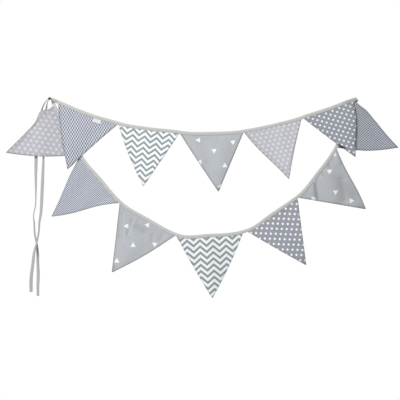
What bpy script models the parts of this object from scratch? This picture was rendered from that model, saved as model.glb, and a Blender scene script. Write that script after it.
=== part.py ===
"""Fabric bunting: twelve turned cotton flags on one bias tape, hung in two swags on two wall nails.

Metres. X runs to the viewer's right, Z runs up and Y runs into the wall, whose face is Y = 0. The origin is
the middle of the left nail at the wall. The tables are in millimetres, as someone with a ruler on the wall
reads them: across is to the right of the left nail, drop is below it and depth is out from the wall.
"""

from collections import namedtuple

import bmesh
import bpy
import numpy as np

MM = 0.001

# The tape: a bias strip folded in half over the flags' tops, with a slot between its two halves
TAPE_WIDTH = 10 * MM
TAPE_THICKNESS = 3.2 * MM
TIE_THICKNESS = 1.6 * MM
SLOT_WIDTH = 1.6 * MM
SLOT_FLOOR = 1.0 * MM  # from the tape's folded edge to the slot's floor
SEWN_NOTCH = 0.5 * MM  # what is left of the slot where the tape is sewn shut as a tie
CLOSING_LENGTH = 7 * MM  # along the tape, from the open slot to the tie

# The flags: two layers of cotton, turned and pressed
CLOTH = 1.0 * MM
FLAG_TOP = 1.4 * MM  # from the tape's folded edge to the flags' tops
COLUMNS = 12  # triangles along a flag's top
SEAT_BELOW_TAPE = 0.5 * MM  # how far a flag runs straight out of the slot
FOLD_RAMP = 14 * MM  # from the tape to where folds reach their full height

# Depths of the two layers in front of the wall, at the middle of the tape
FRONT = 16 * MM
REAR = 9 * MM
SWAG_STEP = 14 * MM
TIE_STEP = 12 * MM

# The tape turns over at the right nail, round a half turn that joins the front layer to the rear one
FOLD_CORNER = (912.6, -2.6)  # across and drop of the tape's folded edge where the turn starts
REAR_HEADING = (-0.402, -0.916)  # across and up, as the tape leaves the turn
TURN_RADIUS = (FRONT - REAR) / 2
TURN_LENGTH = 18 * MM
TURN_STEPS = 14
FLAG_AFTER_TURN = 2 * MM

# The label, sewn in under the tape on the first flag
LABEL_ALONG = 126 * MM
LABEL_SIZE = (25 * MM, 12 * MM)
LABEL_THICKNESS = 1.0 * MM
PIECE_GAP = 0.3 * MM

# Nail profiles, as rows of radius and depth from the wall outwards
NAIL_SIDES = 20
LEFT_NAIL = ((1.5, 0), (1.5, 22.5), (4.0, 22.6), (4.2, 23.1), (3.6, 24.0), (2.2, 24.4))
RIGHT_NAIL = ((1.5, 0), (1.5, 12.7), (2.1, 12.8), (2.1, 13.5), (1.6, 14.0))
RIGHT_NAIL_PLACE = (913.8, 0.7)  # across and drop, inside the turn of the tape

# Each flag's top corners on the tape's folded edge, its tip, and the shape that it hangs in. Sag is how far
# the middle of its top hangs below the line between its corners. A bow is how far the middle of that side
# bulges outwards, and a wave is how far it bulges out at a quarter of its length and in at three quarters.
# Belly, tip_lift and twist are depths: in the middle, at the tip, and of the end side against the start side.
Flag = namedtuple(
    "Flag",
    "name cloth start_across start_drop end_across end_drop sag tip_across tip_drop"
    " start_bow start_wave end_bow end_wave belly tip_lift twist",
)
UPPER_FLAGS = (
    Flag("flag_check_front", "check", 29.4, 6.3, 205.5, 68.7, 4.8, 53.7, 213.0, 4, 0, -2.5, 0, 2.0, 1.0, -1.5),
    Flag("flag_chevron_upper", "chevron", 209.4, 69.9, 389.7, 95.7, 3.0, 280.8, 264.0, 5, 0, 0, 0, -2.0, -3.0, 2.0),
    Flag("flag_triangles_upper", "triangles", 393.3, 96.3, 578.4, 93.3, 4.5, 506.1, 279.9, 1, 0, 0, 0, 2.0, -4.0, -2.0),
    Flag("flag_pale_upper", "pale", 582.0, 92.7, 751.2, 53.1, 3.0, 717.9, 242.4, 2.5, 1.5, -2.5, 0, -3.0, -2.0, 2.5),
    Flag("flag_dots_upper", "dots", 758.7, 50.4, 908.0, -1.2, 1.5, 917.4, 176.0, 1.5, 0, 5, 2, 2.0, 1.0, 0.0),
)
LOWER_FLAGS = (
    Flag("flag_check_right", "check", None, None, 855.3, 142.5, 0.0, 1047.0, 146.7, 2.5, 2, 9, 0, -1.5, 3.0, 0.0),
    Flag("flag_triangles_right", "triangles", 852.6, 147.6, 741.6, 289.2, 3.8, 949.2, 331.8, 0, -2, 0, 0, 2.0, -2.0, -1.0),
    Flag("flag_dots_lower", "dots", 737.7, 292.2, 591.6, 390.3, 1.0, 770.1, 500.4, 0, 0, 1, 0, 2.0, -3.0, 2.0),
    Flag("flag_chevron_lower", "chevron", 576.3, 395.1, 384.3, 404.7, 5.4, 487.8, 599.7, 4, 0, 2, 0, 3.0, -3.0, 1.0),
    Flag("flag_triangles_left", "triangles", 378.0, 402.3, 216.0, 308.7, 3.0, 185.7, 522.0, 5, 0, 0, 0, 2.0, 2.0, -2.0),
    Flag("flag_check_left", "check", 212.4, 305.4, 98.0, 170.0, 1.2, 4.2, 354.0, -0.5, -3, 1.5, 1.5, 1.0, 4.0, 1.5),
    Flag("flag_pale_left", "pale", 94.5, 163.5, 17.4, 17.7, 0.0, -132.9, 162.3, 8, 0, 1, 0, 0.0, 2.0, 0.0),
)

# Soft folds: each is a ridge, or a trough where its height is negative, along a line on one flag. Width is
# how far from the line it has fallen to about a third.
Fold = namedtuple("Fold", "flag from_across from_drop to_across to_drop height width")
FOLDS = (
    Fold("flag_pale_left", -14, 35, -36, 168, 5.0, 34),
    Fold("flag_check_front", 150, 75, 80, 190, -2.0, 24),
    Fold("flag_chevron_upper", 300, 90, 285, 220, 2.5, 26),
    Fold("flag_triangles_upper", 450, 100, 480, 190, -2.5, 18),
    Fold("flag_triangles_upper", 530, 100, 515, 210, 2.0, 20),
    Fold("flag_pale_upper", 690, 80, 710, 190, 2.5, 22),
    Fold("flag_dots_upper", 912, 20, 916, 170, -3.0, 12),
    Fold("flag_dots_upper", 790, 90, 860, 130, -2.0, 14),
    Fold("flag_check_right", 960, 60, 1000, 130, -2.0, 24),
    Fold("flag_triangles_right", 800, 205, 830, 300, 5.0, 9),
    Fold("flag_triangles_right", 785, 245, 812, 222, 4.0, 8),
    Fold("flag_triangles_right", 815, 235, 795, 300, -3.0, 10),
    Fold("flag_triangles_right", 880, 200, 920, 300, 2.0, 22),
    Fold("flag_dots_lower", 700, 330, 750, 460, -2.0, 26),
    Fold("flag_chevron_lower", 470, 415, 485, 560, 2.5, 26),
    Fold("flag_triangles_left", 240, 335, 235, 440, 4.0, 10),
    Fold("flag_triangles_left", 262, 345, 252, 420, -3.5, 9),
    Fold("flag_triangles_left", 300, 365, 290, 430, 2.5, 14),
    Fold("flag_check_left", 190, 312, 130, 345, 3.5, 14),
    Fold("flag_check_left", 120, 230, 60, 320, -2.0, 22),
)

# The two ties, as stops along the middle of the tape from the flags over the left nail to the free end.
# Turn is how far the tape is turned edge-on to the viewer, in degrees.
Stop = namedtuple("Stop", "across drop depth turn")
FRONT_TIE = (
    Stop(17.5, 6.8, 16.2, 8),
    Stop(10.5, 3.0, 16.8, 40),
    Stop(5.2, -0.6, 17.0, 76),
    Stop(2.3, -2.2, 17.0, 90),
    Stop(0.0, -2.8, 17.0, 90),
    Stop(-2.2, -2.0, 17.0, 90),
    Stop(-4.6, 0.8, 16.8, 88),
    Stop(-9.0, 5.6, 15.5, 82),
    Stop(-13.8, 11.5, 13.0, 74),
    Stop(-19.5, 20.4, 9.4, 70),
    Stop(-24.6, 34.0, 6.6, 62),
    Stop(-30.9, 64.0, 5.4, 40),
    Stop(-36.9, 115.0, 5.0, 14),
    Stop(-41.4, 172.0, 5.0, 4),
    Stop(-42.6, 230.0, 5.2, 38),
    Stop(-42.4, 285.0, 5.6, 68),
    Stop(-43.2, 318.0, 5.6, 72),
    Stop(-49.2, 351.0, 5.6, 74),
    Stop(-47.2, 376.0, 5.4, 62),
    Stop(-46.2, 402.0, 5.4, 60),
    Stop(-39.9, 436.0, 5.4, 58),
    Stop(-36.6, 466.0, 5.4, 36),
    Stop(-36.3, 496.0, 5.4, 36),
    Stop(-35.4, 522.0, 5.2, 14),
    Stop(-36.4, 560.0, 5.0, 34),
    Stop(-36.3, 592.0, 5.0, 34),
)
REAR_TIE = (
    Stop(9.5, 11.5, 8.0, 40),
    Stop(6.0, 5.5, 6.5, 75),
    Stop(2.8, 0.0, 6.0, 90),
    Stop(2.0, -2.0, 6.0, 90),
    Stop(0.0, -2.8, 6.0, 90),
    Stop(-2.0, -2.0, 6.0, 90),
    Stop(-2.9, 0.4, 6.0, 90),
    Stop(-5.6, 6.0, 6.0, 86),
    Stop(-8.0, 13.0, 5.8, 80),
    Stop(-10.6, 27.0, 5.4, 60),
    Stop(-13.5, 40.0, 5.0, 46),
    Stop(-16.4, 84.0, 5.0, 44),
    Stop(-18.0, 130.0, 5.4, 52),
    Stop(-19.2, 172.0, 5.6, 56),
    Stop(-21.0, 215.0, 6.4, 34),
    Stop(-24.0, 285.0, 7.6, 18),
    Stop(-26.0, 330.0, 9.5, 30),
    Stop(-27.2, 346.0, 10.5, 36),
    Stop(-30.6, 364.0, 12.0, 50),
    Stop(-33.4, 402.0, 14.6, 60),
    Stop(-40.2, 436.0, 16.0, 58),
    Stop(-46.8, 462.0, 15.0, 40),
    Stop(-51.0, 496.0, 12.0, 22),
    Stop(-56.4, 538.0, 8.0, 6),
    Stop(-56.8, 580.0, 6.5, 4),
)

# Linear colour, roughness and metallic value of each finish
FINISHES = {
    "check": ((0.49, 0.53, 0.62), 0.9, 0.0),
    "chevron": ((0.62, 0.66, 0.69), 0.9, 0.0),
    "triangles": ((0.44, 0.47, 0.49), 0.9, 0.0),
    "pale": ((0.55, 0.54, 0.59), 0.9, 0.0),
    "dots": ((0.38, 0.39, 0.45), 0.9, 0.0),
    "tape": ((0.52, 0.53, 0.48), 0.9, 0.0),
    "label": ((0.86, 0.86, 0.86), 0.7, 0.0),
    "steel": ((0.08, 0.07, 0.09), 0.4, 0.9),
}


def clear_scene():
    for old in list(bpy.data.objects):
        bpy.data.objects.remove(old, do_unlink=True)


def finish(name):
    """The Principled material of this name, made once."""
    made = bpy.data.materials.get(name)
    if made is None:
        colour, roughness, metallic = FINISHES[name]
        made = bpy.data.materials.new(name)
        made.use_nodes = True
        shader = made.node_tree.nodes["Principled BSDF"]
        shader.inputs["Base Color"].default_value = (*colour, 1)
        shader.inputs["Roughness"].default_value = roughness
        shader.inputs["Metallic"].default_value = metallic
    return made


def add_mesh(name, points, faces, finish_name):
    """One object with this mesh, its faces turned outwards and shaded smooth."""
    mesh = bpy.data.meshes.new(name)
    mesh.from_pydata([tuple(point) for point in points], [], [tuple(face) for face in faces])
    shell = bmesh.new()
    shell.from_mesh(mesh)
    bmesh.ops.recalc_face_normals(shell, faces=shell.faces)
    shell.to_mesh(mesh)
    shell.free()
    mesh.shade_smooth()
    mesh.set_sharp_from_angle(angle=np.radians(50))
    mesh.materials.append(finish(finish_name))
    made = bpy.data.objects.new(name, mesh)
    bpy.context.scene.collection.objects.link(made)
    return made


def place(across, drop):
    """A point on the wall as X and Z, from the tables' millimetres."""
    return np.array((across, -drop), float) * MM


def unit(vectors):
    return vectors / np.linalg.norm(vectors, axis=-1, keepdims=True)


def square_to(heading):
    """The direction on the wall that is on the right of this heading."""
    return np.array((heading[1], -heading[0]))


def smoothstep(value):
    value = np.clip(value, 0, 1)
    return value * value * (3 - 2 * value)


def smooth_route(knots, step, first_heading=None):
    """Points about a step apart on a curve through the knots, and the index of each knot among them.

    Between two knots the curve is a cubic whose tangent at a knot runs parallel to the line that joins the
    knots on either side of it. Every column of the knots is carried along in the same way.
    """
    knots = np.asarray(knots, float)
    lengths = np.linalg.norm(np.diff(knots[:, :2], axis=0), axis=1)
    along = np.concatenate(([0], np.cumsum(lengths)))
    slopes = np.gradient(knots, along, axis=0, edge_order=1)
    if first_heading is not None:
        slopes[0] = first_heading
    points, indices = [], []
    for i, length in enumerate(lengths):
        count = max(2, int(np.ceil(length / step)))
        t = (np.arange(count) / count)[:, None]
        indices.append(sum(map(len, points)))
        points.append(
            (2 * t**3 - 3 * t**2 + 1) * knots[i]
            + (t**3 - 2 * t**2 + t) * length * slopes[i]
            + (3 * t**2 - 2 * t**3) * knots[i + 1]
            + (t**3 - t**2) * length * slopes[i + 1]
        )
    indices.append(sum(map(len, points)))
    points.append(knots[-1:])
    return np.concatenate(points), indices


def flag_knots(flag, start, side):
    """The tape's folded edge at a flag: its start, the sagging middle of its top, and its end."""
    end = place(flag.end_across, flag.end_drop)
    along = unit(end - start)
    below = side * np.array((along[1], -along[0]))
    return start, (start + end) / 2 + below * flag.sag * MM, end


class Swag:
    """The tape's folded edge along one swag, in X and Z, with the side that its flags hang on.

    Side is 1 where the flags are on the right of someone who walks along the tape, and -1 on the left.
    """

    def __init__(self, flags, side, depth, first_knots=(), last_knots=(), first_heading=None):
        knots = list(first_knots)
        spans = []
        for flag in flags:
            start = knots[-1] if flag.start_across is None else place(flag.start_across, flag.start_drop)
            if flag.start_across is None:
                knots.pop()
            spans.append((len(knots), len(knots) + 2))
            knots.extend(flag_knots(flag, start, side))
        knots.extend(last_knots)
        points, indices = smooth_route(knots, SWAG_STEP, first_heading)
        self.side = side
        self.depth = depth
        self.points = points
        self.along = np.concatenate(([0], np.cumsum(np.linalg.norm(np.diff(points, axis=0), axis=1))))
        self.headings = unit(np.gradient(points, self.along, axis=0))
        self.spans = {
            flag.name: (self.along[indices[first]], self.along[indices[last]])
            for flag, (first, last) in zip(flags, spans)
        }

    def at(self, distances, below):
        """Points at these distances along the folded edge and this far below it, in X and Z."""
        point, heading = (
            np.stack([np.interp(distances, self.along, values[:, k]) for k in (0, 1)], axis=-1)
            for values in (self.points, self.headings)
        )
        heading = unit(heading)
        down = self.side * np.stack((heading[..., 1], -heading[..., 0]), axis=-1)
        return point + down * np.asarray(below)[..., None]


def turn_frame(upper_heading):
    """The line that the tape turns over about, and the direction out of the turn, both in X and Z."""
    line = unit(upper_heading + unit(np.array(REAR_HEADING)))
    return line, np.array((-line[1], line[0]))


def over_the_turn(flat, inward, corner, line, outward):
    """Wraps points of the front layer round the half turn.

    Flat is where they would lie if the tape ran straight on, and inward is how far each lies off the middle
    of the tape's thickness, towards the wall. A point this far past the turn's line goes that far round a
    half circle, and then back along the rear layer.
    """
    reach = (flat - corner) @ outward
    along = (flat - corner) @ line
    angle = np.clip(reach / TURN_RADIUS, 0, np.pi)
    past = np.minimum(reach, 0) - np.maximum(reach - np.pi * TURN_RADIUS, 0)
    radius = TURN_RADIUS - inward
    out = past + radius * np.sin(angle)
    wall = corner + along[..., None] * line + out[..., None] * outward
    depth = (FRONT + REAR) / 2 + radius * np.cos(angle)
    return np.stack((wall[..., 0], -depth, wall[..., 1]), axis=-1)


def tape_section(openness):
    """The tape's outline as width from the middle towards the flags, and thickness, for each openness.

    At 1 the slot is open for a flag, and at 0 the tape is sewn shut as a tie.
    """
    openness = np.asarray(openness, float)[:, None]
    half_width = TAPE_WIDTH / 2
    half = (TIE_THICKNESS + (TAPE_THICKNESS - TIE_THICKNESS) * openness) / 2
    gap = SLOT_WIDTH / 2 * (0.15 + 0.85 * openness)
    floor = half_width - SEWN_NOTCH + (SLOT_FLOOR + SEWN_NOTCH - TAPE_WIDTH) * openness
    edge = np.full_like(half, half_width)
    width = np.hstack((-edge, -edge, edge, edge, floor, floor, edge, edge))
    thickness = np.hstack((-half, half, half, gap, gap, -gap, -gap, -half))
    return width, thickness


def rings_along(centres, turns, openness, side):
    """The tape's rings at these centres, each square to the tape and turned edge-on by its turn."""
    heading = unit(np.gradient(centres, axis=0))
    into_wall = np.array((0.0, 1.0, 0.0))
    towards_flags = side * unit(np.cross(into_wall, heading))
    facing = np.cross(heading, towards_flags)
    turns = np.radians(turns)[:, None]
    across = np.cos(turns) * towards_flags + np.sin(turns) * facing
    facing = np.cross(heading, across)
    width, thickness = tape_section(openness)
    return centres[:, None] + width[..., None] * across[:, None] + thickness[..., None] * facing[:, None]


def swag_rings(swag):
    middle = swag.at(swag.along, np.full(len(swag.along), TAPE_WIDTH / 2))
    centres = np.stack((middle[:, 0], np.full(len(middle), -swag.depth), middle[:, 1]), axis=-1)
    return rings_along(centres, np.zeros(len(centres)), np.ones(len(centres)), swag.side)


def tie_rings(stops, swag_end, swag_next, side):
    """Rings from the swag's end over the nail to the free end, without the first, which the swag has."""
    knots = [(*swag_next, 0), (*swag_end, 0)]
    knots += [(stop.across * MM, -stop.drop * MM, -stop.depth * MM, stop.turn) for stop in stops]
    points, indices = smooth_route(knots, TIE_STEP)
    points = points[indices[1] :]
    centres = points[:, (0, 2, 1)]
    along = np.concatenate(([0], np.cumsum(np.linalg.norm(np.diff(centres, axis=0), axis=1))))
    openness = 1 - smoothstep(along / CLOSING_LENGTH)
    return rings_along(centres, points[:, 3], openness, side)[1:]


def turn_rings(corner, heading, line, outward):
    """Rings round the half turn at the right nail, after the upper swag's last one."""
    down = np.array((heading[1], -heading[0]))
    steps = TURN_LENGTH * np.arange(1, TURN_STEPS + 1) / TURN_STEPS
    width, thickness = tape_section(np.ones(TURN_STEPS))
    flat = corner + steps[:, None, None] * heading + (TAPE_WIDTH / 2 + width)[..., None] * down
    return over_the_turn(flat, thickness, corner, line, outward)


def tape(upper, lower, corner, line, outward):
    """The whole tape as one sweep: tie, upper swag, turn, lower swag, tie."""

    def end_of(swag, index):
        x, z = swag.at(swag.along[index], np.asarray(TAPE_WIDTH / 2))
        return x, z, -swag.depth

    # A tie is worked out from its swag to its free end, so the first is then turned end for end, and its
    # heading, which decides which side is which, is turned with it.
    front_tie = tie_rings(FRONT_TIE, end_of(upper, 0), end_of(upper, 1), -upper.side)[::-1]
    front_tie = front_tie[:, (1, 0, 7, 6, 5, 4, 3, 2)]
    rear_tie = tie_rings(REAR_TIE, end_of(lower, -1), end_of(lower, -2), lower.side)
    turn = turn_rings(corner, upper.headings[-1], line, outward)
    rings = np.concatenate((front_tie, swag_rings(upper), turn, swag_rings(lower)[1:], rear_tie))
    count, corners = rings.shape[:2]
    index = np.arange(count * corners).reshape(count, corners)
    near, far = index[:-1], index[1:]
    sides = np.stack((near, np.roll(near, -1, 1), np.roll(far, -1, 1), far), axis=-1).reshape(-1, 4)
    faces = [*sides.tolist(), index[0].tolist(), index[-1].tolist()]
    return add_mesh("tape", rings.reshape(-1, 3), faces, "tape")


def fold_depth(name, wall):
    """How far a flag's own folds stand out at these points of the wall."""
    depth = np.zeros(wall.shape[:-1])
    for fold in FOLDS:
        if fold.flag != name:
            continue
        start = place(fold.from_across, fold.from_drop)
        run = place(fold.to_across, fold.to_drop) - start
        share = np.clip((wall - start) @ run / (run @ run), 0, 1)
        off = np.linalg.norm(wall - start - share[..., None] * run, axis=-1)
        depth += fold.height * MM * np.exp(-((off / (fold.width * MM)) ** 2))
    return depth


def flag_depth(flag, across, fall, wall, below_tape):
    """How far a flag stands out from its layer: its belly, its tip, its twist and its folds.

    Across runs from 0 on its start side to 1, and fall from 0 at the tape to 1 at the tip.
    """
    belly = flag.belly * MM * np.sin(np.pi * np.clip(fall, 0, 1)) * (1 - (2 * across - 1) ** 2)
    tip = flag.tip_lift * MM * fall**2
    twist = flag.twist * MM * (2 * across - 1) * fall * (1 - fall) * 2
    ramp = smoothstep(below_tape / FOLD_RAMP)
    return (belly + tip + twist + fold_depth(flag.name, wall)) * ramp


def flag_points(flag, swag, across, fall):
    """Points of a flag's middle surface: straight lines from the tape's edge to the tip."""
    first, last = swag.spans[flag.name]
    below = TAPE_WIDTH + SEAT_BELOW_TAPE
    top = swag.at(first + (last - first) * across, np.full_like(across, below))
    tip = place(flag.tip_across, flag.tip_drop)
    corners = swag.at(np.array((first, last)), np.full(2, below))
    to_start, to_end = (swag.side * sign * square_to(unit(tip - corner)) for sign, corner in zip((1, -1), corners))
    bow, wave = np.sin(np.pi * fall), np.sin(2 * np.pi * fall)
    start_side = (1 - across) * (flag.start_bow * bow + flag.start_wave * wave)
    end_side = across * (flag.end_bow * bow + flag.end_wave * wave)
    wall = top + (tip - top) * fall[..., None]
    wall = wall + (start_side[..., None] * to_start + end_side[..., None] * to_end) * MM
    below_tape = np.linalg.norm(tip - top, axis=-1) * fall
    depth = swag.depth + flag_depth(flag, across, fall, wall, below_tape)
    return np.stack((wall[..., 0], -depth, wall[..., 1]), axis=-1)


def flag(row, swag):
    """A flag as a lattice of triangles with its top edge in the tape's slot, thickened by Solidify."""
    first, last = swag.spans[row.name]
    across = np.linspace(0, 1, COLUMNS + 1)
    held = swag.at(first + (last - first) * across, np.full_like(across, FLAG_TOP))
    points = [np.stack((held[:, 0], np.full(len(held), -swag.depth), held[:, 1]), axis=-1)]
    faces = [(i, i + COLUMNS + 1, i + COLUMNS + 2, i + 1) for i in range(COLUMNS)]
    start = COLUMNS + 1
    for level in range(COLUMNS + 1):
        count = COLUMNS - level
        share = np.linspace(0, 1, count + 1) if count else np.array((0.5,))
        points.append(flag_points(row, swag, share, np.full(count + 1, level / COLUMNS)))
        below = start + count + 1
        for i in range(count):
            faces.append((start + i, below + i, start + i + 1))
            if i:
                faces.append((start + i, below + i - 1, below + i))
        start = below
    made = add_mesh(row.name, np.concatenate(points), faces, row.cloth)
    thicken(made, CLOTH)
    return made


def thicken(made, thickness):
    solid = made.modifiers.new("two_layers", "SOLIDIFY")
    solid.thickness = thickness
    solid.offset = 0
    solid.use_even_offset = True


def label(row, swag):
    """The bare woven label, just in front of its flag and just below the tape."""
    length, drop = LABEL_SIZE
    first, last = swag.spans[row.name]
    along = LABEL_ALONG + length * np.linspace(-0.5, 0.5, 4)
    below = TAPE_WIDTH + PIECE_GAP + drop * np.linspace(0, 1, 3)
    along, below = (values.ravel() for values in np.meshgrid(along, below))
    wall = swag.at(first + along, below)
    fall = (below - TAPE_WIDTH) / np.linalg.norm(wall - place(row.tip_across, row.tip_drop), axis=-1)
    depth = flag_depth(row, along / (last - first), fall, wall, below - TAPE_WIDTH - SEAT_BELOW_TAPE)
    depth += swag.depth + (CLOTH + LABEL_THICKNESS) / 2 + PIECE_GAP
    points = np.stack((wall[:, 0], -depth, wall[:, 1]), axis=-1)
    faces = [(r * 4 + i, r * 4 + i + 1, r * 4 + i + 5, r * 4 + i + 4) for r in range(2) for i in range(3)]
    made = add_mesh("label", points, faces, "label")
    thicken(made, LABEL_THICKNESS)
    return made


def nail(name, profile, across, drop):
    """A turned nail that stands straight out of the wall, its rear face flat on the wall."""
    angles = 2 * np.pi * np.arange(NAIL_SIDES) / NAIL_SIDES
    rows = [
        np.stack((r * np.cos(angles), np.full(NAIL_SIDES, -depth), r * np.sin(angles)), axis=-1) * MM
        for r, depth in profile
    ]
    index = np.arange(len(rows) * NAIL_SIDES).reshape(len(rows), NAIL_SIDES)
    near, far = index[:-1], index[1:]
    sides = np.stack((near, np.roll(near, -1, 1), np.roll(far, -1, 1), far), axis=-1).reshape(-1, 4)
    made = add_mesh(name, np.concatenate(rows), [*sides.tolist(), index[0].tolist(), index[-1].tolist()], "steel")
    x, z = place(across, drop)
    made.location = (x, 0, z)
    return made


def build():
    clear_scene()
    corner = place(*FOLD_CORNER)
    upper = Swag(UPPER_FLAGS, 1, FRONT, last_knots=(corner,))
    heading = upper.headings[-1]
    line, outward = turn_frame(heading)
    leaving = over_the_turn(corner + TURN_LENGTH * heading, np.array(0.0), corner, line, outward)[[0, 2]]
    rear_heading = unit(np.array(REAR_HEADING))
    first_knots = (leaving, leaving + FLAG_AFTER_TURN * rear_heading)
    lower = Swag(LOWER_FLAGS, -1, REAR, first_knots=first_knots, first_heading=rear_heading)
    tape(upper, lower, corner, line, outward)
    for swag, rows in ((upper, UPPER_FLAGS), (lower, LOWER_FLAGS)):
        for row in rows:
            flag(row, swag)
    label(UPPER_FLAGS[0], upper)
    nail("nail_left", LEFT_NAIL, 0, 0)
    nail("nail_right", RIGHT_NAIL, *RIGHT_NAIL_PLACE)


build()
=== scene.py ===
"""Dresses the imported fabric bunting: printed cotton flags on a bias tape, hung in two swags on two nails.

Metres throughout. X runs to the viewer's right, Z up and Y into the wall, whose face is Y = 0. The tables
are in millimetres, read as across and drop from the left nail and as depth out from the wall.
"""

from collections import namedtuple
from functools import reduce, wraps

import bmesh
import bpy
import numpy as np
from bpy.props import FloatProperty, FloatVectorProperty, IntProperty, PointerProperty
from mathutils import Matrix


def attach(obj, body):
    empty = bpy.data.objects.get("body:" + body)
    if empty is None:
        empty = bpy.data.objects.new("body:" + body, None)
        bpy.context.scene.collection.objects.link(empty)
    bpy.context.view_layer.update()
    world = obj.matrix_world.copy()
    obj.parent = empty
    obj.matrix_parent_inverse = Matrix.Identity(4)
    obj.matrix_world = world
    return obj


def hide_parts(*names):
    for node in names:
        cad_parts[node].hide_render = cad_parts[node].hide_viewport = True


bl_info = {
    "name": "Fabric Bunting",
    "version": (1, 0, 0),
    "blender": (4, 5, 0),
    "location": "3D View > Sidebar > Bunting",
    "description": "Makes the printed flags, the tape, the label and the studio of a hung fabric bunting",
    "category": "Add Mesh",
}

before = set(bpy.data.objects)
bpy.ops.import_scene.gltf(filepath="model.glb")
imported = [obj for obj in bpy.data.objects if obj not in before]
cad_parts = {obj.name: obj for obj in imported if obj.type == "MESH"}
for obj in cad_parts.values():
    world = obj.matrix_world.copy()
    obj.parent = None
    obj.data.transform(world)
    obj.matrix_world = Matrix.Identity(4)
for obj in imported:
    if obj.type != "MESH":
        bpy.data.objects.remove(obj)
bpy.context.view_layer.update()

MM = 0.001

# Below the tape's folded edge: the flags' tops in its slot, and the slot's mouth
FLAG_TOP = 1.4
SLOT_MOUTH = 10.5

# Steps along the swags and the ties
SWAG_STEP = 3.5
TIE_STEP = 3.0

# Depths of the two swags, and the half turn at the right nail between them
FRONT = 16.0
REAR = 9.0
FOLD_CORNER = (912.6, -2.6)
REAR_HEADING = (-0.402, -0.916)
TURN_RADIUS = (FRONT - REAR) / 2
TURN_LENGTH = 18.0
TURN_STEPS = 28
FLAG_AFTER_TURN = 2.0

# The tape's section, from its folded edge: how far out, for a tape 10 wide, and its face's share of the rise
SECTION_OUT = (0.0, 0.12, 0.45, 1.1, 2.4, 4.5, 6.6, 7.7, 8.3, 8.9, 9.5, 9.85, 10.0)
SECTION_RISE = (0.0, 0.42, 0.75, 0.95, 1.0, 1.0, 0.97, 0.86, 0.78, 0.88, 0.95, 0.85, 0.6)
# Sines that make its width uneven: height, length in which each turns by a radian, and start
WIDTH_WAVES = ((0.16, 9.3, 0.0), (0.12, 4.1, 1.3), (0.1, 23, 0.4))
# Its slot: solid cloth left at the fold, how far each side opens, half the notch that stays where the tape
# is sewn shut, that notch's depth, and the step in at the mouth
FOLD_SOLID = 1.6
SLOT_OPENS = 0.62
NOTCH_HALF = 0.12
NOTCH_DEPTH = 0.6
MOUTH_LIP = 0.02
# Along it: the length in which it closes into a tie, and its tone along the middle, from which a painted
# highlight rises towards the folded edge and painted shade falls towards the open edge
CLOSING_LENGTH = 7.0
TAPE_TONE = 1.03
# Its stitches: how far out they lie, as a share of half the tape's thickness, and how far from its end they
# stop. In shares of the thread's radius: the middle's height, how deep the ends dip, and the girth there
STITCH_OUT = 0.8
STITCH_STOP = 4.0
STITCH_ARCH = 0.9
STITCH_DIP = 0.35
STITCH_END_GIRTH = 0.55

# A flag, in shares of its fall from the tape to its tip: where loose corners stand out, how wide they are,
# and where the cloth ends. The last is the share of its columns that are crowded towards the sides
EAR_FALL = 0.19
EAR_WIDTH = 0.12
TIP_FALL = 0.988
SIDE_CROWDING = 0.55
# A flag, in millimetres: the length in which its folds begin, how far each side curls and over what width,
# the step up to the seam allowance, and the width of the rounded edge
FOLD_RAMP = 14.0
CURL_START = 0.5
CURL_END = 1.5
CURL_WIDTH = 2.6
SEAM_STEP = 1.5
EDGE_ROUND = 0.9
# Puckers under the tape: two waves' heights, and their radians across the flag. Then what gives a radian
# more, from the tip's place and down the second wave, and the lengths in which both begin and die away
PUCKERS = ((0.35, 71), (0.25, 43))
PUCKER_SHIFT = 37
PUCKER_LEAN = 9
PUCKER_START = 4
PUCKER_REACH = 16

# The label: its middle along the first flag, its top and the tape's open edge below the folded one, how far
# it stands off, half its thickness, its points along and down, and how its loose edge lifts and ripples
LABEL_ALONG = 126.0
LABEL_TOP = 10.3
LABEL_HANGS_FROM = 10
LABEL_STANDS_OFF = 1.25
LABEL_HALF = 0.32
LABEL_GRID = (25, 13)
LIFT_HEIGHT = 0.5
LIFT_FROM = 14
LIFT_WITHIN = 8
RIPPLE_SHARE = 0.3
RIPPLE_LENGTH = 3.5

# The studio in metres: half the floor, its grey, and the soft light's size and place from the view's middle
FLOOR_HALF = 1.5
FLOOR_GREY = 0.85
KEY_SIZE = 1.8
KEY_ACROSS = -2.2
KEY_OUT = -3.4
KEY_UP = 2.6

# Each flag's top corners on the tape's folded edge, its tip and the shape that it hangs in, in millimetres.
# The first word of its name is its cloth.
# A flag's tone is painted shade over the whole flag where it is below 1, and painted light where it is above
# 1
Flag = namedtuple(
    "Flag",
    "name start_across start_drop end_across end_drop sag tip_across tip_drop"
    " start_bow start_wave end_bow end_wave belly tip_lift twist tone start_ear end_ear",
    defaults=(0, 0),
)
UPPER_FLAGS = (
    Flag("check_front", 29.4, 6.3, 205.5, 68.7, 4.8, 53.7, 213, 4, 0, -2.5, 0, 2, 1, -1.5, 0.97),
    Flag("chevron_upper", 209.4, 69.9, 389.7, 95.7, 3, 280.8, 264, 5, 0, 0, 0, -2, -3, 2, 1),
    Flag("triangles_upper", 393.3, 96.3, 578.4, 93.3, 4.5, 506.1, 279.9, 1, 0, 0, 0, 2, -4, -2, 1),
    Flag("pale_upper", 582, 92.7, 751.2, 53.1, 3, 717.9, 242.4, 2.5, 1.5, -2.5, 0, -3, -2, 2.5, 1),
    Flag("dots_upper", 758.7, 50.4, 908, -1.2, 1.5, 917.4, 176, 1.5, 0, 5, 2, 2, 1, 0, 1),
)
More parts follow.
